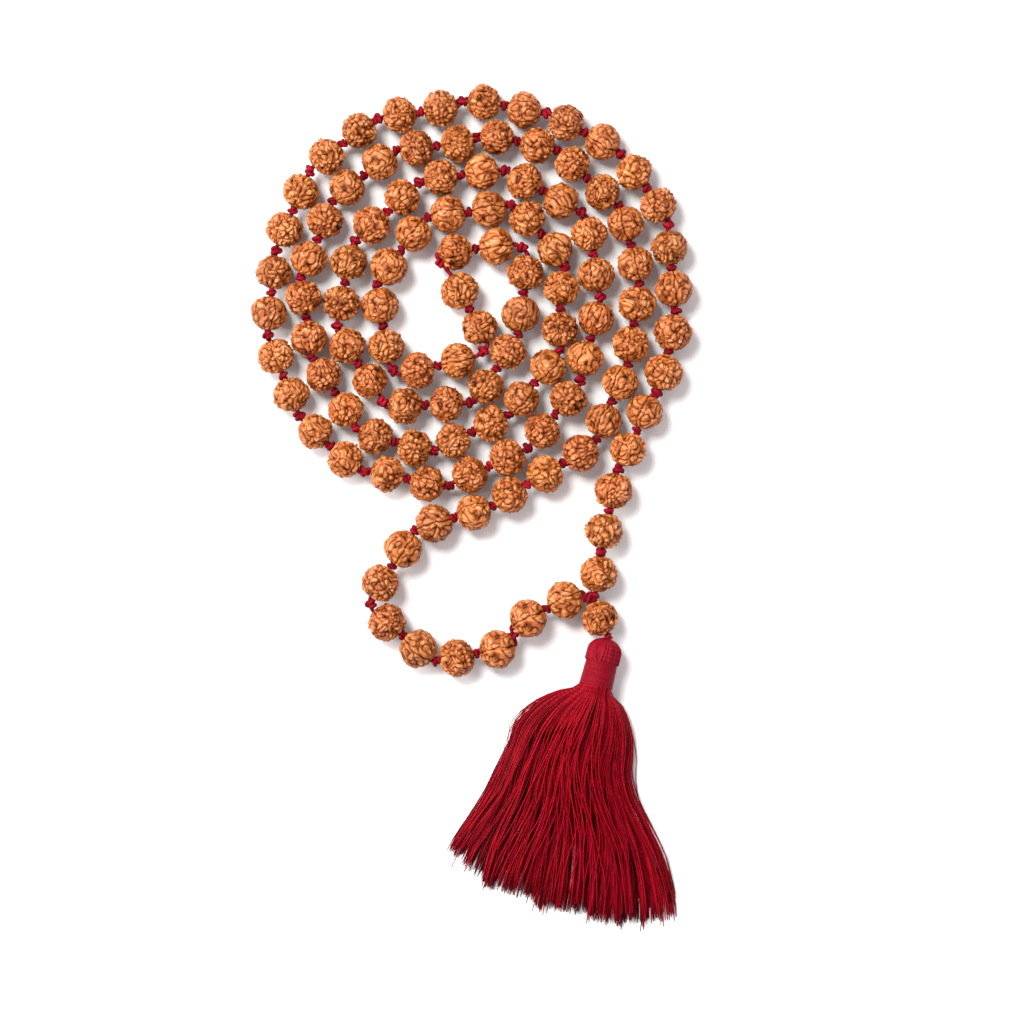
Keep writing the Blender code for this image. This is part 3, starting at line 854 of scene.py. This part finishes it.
def build_binding(tassel, finish):
    """One thread wound round the neck from top to bottom, over a core that shows between the turns."""
    rng = np.random.default_rng(6)
    top, foot = tassel.reach("tassel_binding")
    top -= RIM_LIFT
    widest = tassel.half_width("tassel_binding")
    turns = (foot - top) / WRAP_PITCH
    count = int(turns * WRAP_STEPS)
    turn = np.linspace(0, 2 * math.pi * turns, count)
    down = top + (foot - top) * np.linspace(0, 1, count) + 0.02 * MM * np.sin(0.31 * turn)
    share = np.clip((down - top) / (foot - top), 0, 1)
    lift = widest - WRAP_INSET - WRAP_TAPER * (1 - share) ** 1.5
    lift = lift + 0.02 * MM * np.sin(1.7 * turn) * np.sin(0.23 * turn)
    path = tassel.world(down, lift * np.cos(turn), lift * np.sin(turn))[None]
    radii = np.full((1, count), WRAP_THREAD_RADIUS)

    share = np.linspace(0, 1, 12)
    core_radii = widest - WRAP_CORE_INSET - WRAP_TAPER * (1 - share) ** 1.5
    core_radii[[0, -1]] = widest - WRAP_CORE_END
    core, core_radii = tassel.core(top + 0.1 * MM + (foot - top - 0.2 * MM) * share, core_radii)
    # The core takes a dark tone: painted shade where it shows between the turns.
    mesh = tube_mesh("wound_thread", [
        (path, radii, 6, rng.uniform(0.45, 0.55, 1)), (core, core_radii, 40, np.array([0.2])),
    ])
    show("tassel_wound_thread", mesh, finish, "tassel_neck", ["tassel_binding"])


class SkirtOutline:
    """Edges and height of the skirt at any distance down, read from its CAD node and smoothed."""

    def __init__(self, tassel):
        down, across, up = tassel.local(corners_of("tassel_skirt"))
        level_of = np.round(down / LEVEL)
        rings = [level_of == level for level in np.unique(level_of)]
        self.down = np.array([down[ring].mean() for ring in rings])
        self.left = np.array([across[ring].min() for ring in rings])
        self.right = np.array([across[ring].max() for ring in rings])
        self.high = np.array([up[ring].max() for ring in rings])
        self.foot = self.down[-1]

        # Below its widest level the skirt's outline closes in, but its threads go on apart.
        widest = int(np.argmax(self.right - self.left))
        drop = self.down[widest] - self.down[widest - 2]
        for edge in (self.left, self.right):
            rate = (edge[widest] - edge[widest - 2]) / drop
            edge[widest + 1:] = edge[widest] + 0.6 * rate * (self.down[widest + 1:] - self.down[widest])

    def at(self, down):
        """(left, right, height above the axis) smoothed over a few millimetres."""
        spots = down[..., None] + np.linspace(-1.5, 1.5, 7) * MM
        edges = (self.left, self.right, self.high)
        return [np.interp(spots, self.down, edge).mean(axis=-1) for edge in edges]


def draw_locks(rng):
    """Where the locks of threads lie: across the skirt, and in its lower, middle or upper row."""
    across, rows = [], []
    for row, count in enumerate(SKIRT_LOCKS):
        even = (np.arange(count) + 0.5) / count * 2 - 1
        across.append(even + rng.uniform(-0.5, 0.5, count) / count)
        rows.append(np.full(count, row))
    return np.concatenate(across), np.concatenate(rows)


def skirt_paths(tassel, outline, locks, rng, lateral, layer, ends, start, gathered=1.0):
    """Threads from inside the binding to the hem, as distances down, across and up.

    lateral runs from -1 at the left edge to 1 at the right one, and layer from 0 on the floor to 1 on top.
    """
    count = len(lateral)
    share = np.linspace(0, 1, THREAD_POINTS)[None] ** 1.25
    down = start + (ends[:, None] - start) * share
    left, right, high = outline.at(down)
    middle, half = (left + right) / 2, (right - left) / 2
    opened = smooth_steps((down - (start + 0.3 * MM)) / OPENING)

    # Round inside the binding.
    from_middle = np.abs(2 * layer - 1)[:, None] ** 0.5
    disc_up = np.sign(2 * layer - 1)[:, None] * from_middle * np.cos(lateral * math.pi / 2)[:, None]
    disc_across = from_middle * np.sin(lateral * math.pi / 2)[:, None]

    # Each thread belongs to the nearest lock of its row.
    lock_across, lock_rows = locks
    rows = len(SKIRT_LOCKS)
    apart = np.abs(lateral[:, None] - lock_across[None])
    apart += 9 * (np.floor(np.clip(layer, 0, 0.999) * rows)[:, None] != lock_rows[None])
    lock = apart.argmin(axis=1)
    lock_lateral, lock_layer = lock_across[lock][:, None], ((lock_rows[lock] + 0.5) / rows)[:, None]

    def of_its_lock(values):
        return values[lock][:, None]

    # Spread on the table, gathering into round, slowly twisted locks that are freer in the upper rows.
    gather = smooth_steps((down - start - 5 * MM) / (30 * MM)) * gathered
    tight = 1 - gather * of_its_lock(rng.uniform(0.4, 0.72, len(lock_across)) * (0.2 + 0.4 * lock_rows))
    twist = of_its_lock(rng.normal(0, 0.9, len(lock_across))) * gather
    low = 0.2 * MM - axis_height - FLOOR_DROP
    arch = np.clip(1 - 0.75 * np.abs(lateral[:, None]) ** 3, 0.15, 1)
    depth = (high - low - 0.3 * MM) * arch
    aside = half * (lateral[:, None] - lock_lateral) * tight
    above = depth * (layer[:, None] - lock_layer) * tight
    fan_across = middle + half * lock_lateral + aside * np.cos(twist) - above * np.sin(twist)
    fan_up = low + depth * lock_layer + aside * np.sin(twist) + above * np.cos(twist)
    free = of_its_lock(0.25 + 0.375 * lock_rows)
    wander = of_its_lock(rng.uniform(0.3, 0.9, len(lock_across))) * MM * free
    phase = of_its_lock(rng.uniform(0, 2 * math.pi, len(lock_across)))
    slant = of_its_lock(rng.normal(0, 0.5, len(lock_across))) * MM * free
    fan_across += gather * (wander * np.sin(down / (7.5 * MM) + phase) + slant * gather)
    across = disc_across * NECK_RADIUS * (1 - opened) + fan_across * opened
    up = disc_up * NECK_RADIUS * (1 - opened) + fan_up * opened

    # Each thread wanders a little by itself.
    loose = smooth_steps((down - start - 2 * MM) / (26 * MM))
    wave = rng.uniform(2.2, 5.0, count)[:, None] * MM
    sway = rng.uniform(0.05, 0.32, count)[:, None] * MM
    across += sway * loose * np.sin(down / wave + rng.uniform(0, 6.3, count)[:, None])
    up += 0.5 * sway * loose * np.sin(down / (wave * 1.2) + rng.uniform(0, 6.3, count)[:, None])
    across += rng.normal(0, 0.35, count)[:, None] * MM * loose**2
    return down, across, np.maximum(up, low)


def hem(lateral, foot):
    """How far down the threads end: longest right of the middle, shorter towards both edges."""
    left = 7.0 * MM * np.abs(np.minimum(lateral, 0)) ** 2.6
    right = 8.0 * MM * np.maximum(lateral, 0) ** 5
    return foot - left - right


def body_of_skirt(tassel, outline, locks, rng, start):
    """The threads that lie side by side and over each other, as a bundle for tube_mesh."""
    layer = np.sort(rng.uniform(0, 1, SKIRT_THREADS) ** 1.05)
    lateral = (np.arange(SKIRT_THREADS) * GOLDEN) % 1 * 2 - 1
    lateral = np.clip(lateral + rng.normal(0, 0.012, SKIRT_THREADS), -1, 1)
    ends = hem(lateral, outline.foot) + rng.normal(0, 0.7, SKIRT_THREADS) * MM
    ends += 1.2 * MM * np.sin(lateral * 21 + 2 * layer) * np.sin(lateral * 8)
    ends -= np.where(rng.random(SKIRT_THREADS) < 0.15, rng.uniform(0, 5, SKIRT_THREADS), 0) * MM
    paths = tassel.world(*skirt_paths(tassel, outline, locks, rng, lateral, layer, ends, start))
    radii = SKIRT_THREAD_RADIUS * rng.uniform(0.8, 1.2, SKIRT_THREADS)[:, None] * np.ones((1, paths.shape[1]))
    radii[:, -1] *= 0.6

    # Darker and lighter bands across the skirt, and painted shade: threads low in the pile are darker, those
    # on top lighter.
    bands = 0.2 * np.sin(23 * lateral + 2) * np.sin(9 * lateral + 1)
    tones = np.clip(rng.normal(0.27, 0.2, SKIRT_THREADS) + 0.25 * layer + bands, 0, 1)
    return paths, radii, 4, tones


def crossing_threads(tassel, outline, locks, rng, start):
    """Loose threads that run aslant over the others."""
    lateral = rng.uniform(-0.85, 0.85, CROSSING_THREADS)
    slant = rng.choice([-1, 1], CROSSING_THREADS) * rng.uniform(0.1, 0.4, CROSSING_THREADS)
    slant = np.clip(lateral + slant, -0.92, 0.92) - lateral
    ends = hem(lateral, outline.foot) - rng.uniform(0, 5, CROSSING_THREADS) * MM
    on_top = np.full(CROSSING_THREADS, 1.0)
    down, across, up = skirt_paths(tassel, outline, locks, rng, lateral, on_top, ends, start, 0.2)
    left, right, _ = outline.at(down)
    gone = smooth_steps((down - start) / (ends[:, None] - start))
    across += (right - left) / 2 * slant[:, None] * gone
    up += 0.25 * MM * smooth_steps((down - start - 2 * MM) / (6 * MM))
    radii = np.full(down.shape, CROSSING_RADIUS)
    return tassel.world(down, across, up), radii, 4, rng.uniform(0.5, 1, CROSSING_THREADS)


def stray_threads(tassel, outline, locks, rng, start):
    """Threads that bow out beside the skirt on its left, and one on its right, and fall back lower down."""
    lateral = np.append(rng.uniform(-0.995, -0.93, STRAY_THREADS - 1), 0.98)
    ends = hem(lateral, outline.foot) - rng.uniform(0, 5, STRAY_THREADS) * MM
    layer = rng.uniform(0.1, 0.8, STRAY_THREADS)
    down, across, up = skirt_paths(tassel, outline, locks, rng, lateral, layer, ends, start, 0.0)
    bow = rng.uniform(0.4, 2.1, STRAY_THREADS)[:, None] * MM * np.sign(lateral)[:, None]
    at = rng.uniform(19, 26, STRAY_THREADS)[:, None] * MM
    width = rng.uniform(5, 8, STRAY_THREADS)[:, None] * MM
    across += bow * np.exp(-(((down - at) / width) ** 2))
    radii = np.full(down.shape, STRAY_RADIUS)
    return tassel.world(down, across, up), radii, 4, rng.uniform(0.5, 1, STRAY_THREADS)


def build_skirt(tassel, finish):
    """Loose threads from the binding to the hem."""
    rng = np.random.default_rng(7)
    outline = SkirtOutline(tassel)
    locks = draw_locks(rng)
    _, binding_foot = tassel.reach("tassel_binding")
    start = binding_foot - 0.5 * MM
    kinds = (body_of_skirt, crossing_threads, stray_threads)
    mesh = tube_mesh("skirt_threads", [kind(tassel, outline, locks, rng, start) for kind in kinds])
    piece = show("tassel_skirt_threads", mesh, finish, None, ["tassel_skirt"])
    tassel.world(binding_foot, 0.0, 0.0)
    tassel.world(binding_foot + BLEND_LENGTH, 0.0, 0.0)
    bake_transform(piece)


# ---------------------------------------------------------------- floor, light and camera

def build_floor(low, centre):
    finish = Finish("paper")
    grain = finish.noise(finish.add("NewGeometry").outputs["Position"], 900.0, 4.0)
    colour = finish.ramp(grain, ((0.2, (0.77, 0.77, 0.775)), (0.8, (0.79, 0.79, 0.795))))
    finish.shade(Base_Color=colour, Roughness=0.9, Specular_IOR_Level=0.1)
    bpy.ops.mesh.primitive_plane_add(size=3.0, location=(centre[0], centre[1], low))
    floor = bpy.context.object
    floor.name = "floor"
    floor.data.materials.append(finish.material)


def add_lamp(name, place, aim, size, power, colour):
    lamp = bpy.data.lights.new(name, "AREA")
    lamp.shape = "DISK"
    lamp.size = size
    lamp.energy = power
    lamp.color = colour
    thing = bpy.data.objects.new(name, lamp)
    bpy.context.scene.collection.objects.link(thing)
    thing.location = place
    thing.rotation_euler = (Vector(aim) - Vector(place)).to_track_quat("-Z", "Y").to_euler()


def build_studio():
    lowest, highest = cad_box
    centre = (lowest + highest) / 2
    length = highest.y - lowest.y
    build_floor(lowest.z - FLOOR_DROP, centre)
    for name, place, size, power, colour in LAMPS:
        add_lamp(name, centre + Vector(place) * length, centre, size * length, power, colour)

    world = bpy.data.worlds.new("studio")
    world.use_nodes = True
    background = world.node_tree.nodes["Background"]
    background.inputs["Color"].default_value = ROOM_COLOUR
    background.inputs["Strength"].default_value = ROOM_STRENGTH
    bpy.context.scene.world = world

    # Straight down from above, over a point a little beside the middle of the object.
    camera = bpy.data.objects.new("camera", bpy.data.cameras.new("camera"))
    bpy.context.scene.collection.objects.link(camera)
    camera.data.lens = LENS
    camera.data.sensor_width = SENSOR
    camera.data.clip_start = 0.01
    right, ahead = CAMERA_ASIDE
    distance = PICTURE_SIDE * length * LENS / SENSOR
    camera.location = (centre.x + right * length, centre.y + ahead * length, axis_height + distance)
    bpy.context.scene.camera = camera
    bpy.context.scene.view_settings.view_transform = "Standard"
    bpy.context.scene.view_settings.look = "None"


# ---------------------------------------------------------------- the whole object

def build():
    build_seeds()
    build_cords(thread_finish("crimson_cord", CORD_RED, 0.6, PLY_PITCH, 0.1 * MM, 0.1))
    tassel = TasselFrame()
    cotton = thread_finish("tassel_cotton", SKIRT_RED, 0.45, 0.9 * MM, 0.04 * MM, 0.03)
    head_cotton = thread_finish("head_cotton", HEAD_RED, 0.55, 0.9 * MM, 0.03 * MM, 0.12)
    binding = thread_finish("binding_thread", BINDING_RED, 0.5, 0.8 * MM, 0.03 * MM, 0.12)
    build_head(tassel, head_cotton)
    build_binding(tassel, binding)
    build_skirt(tassel, cotton)
    build_studio()


build()
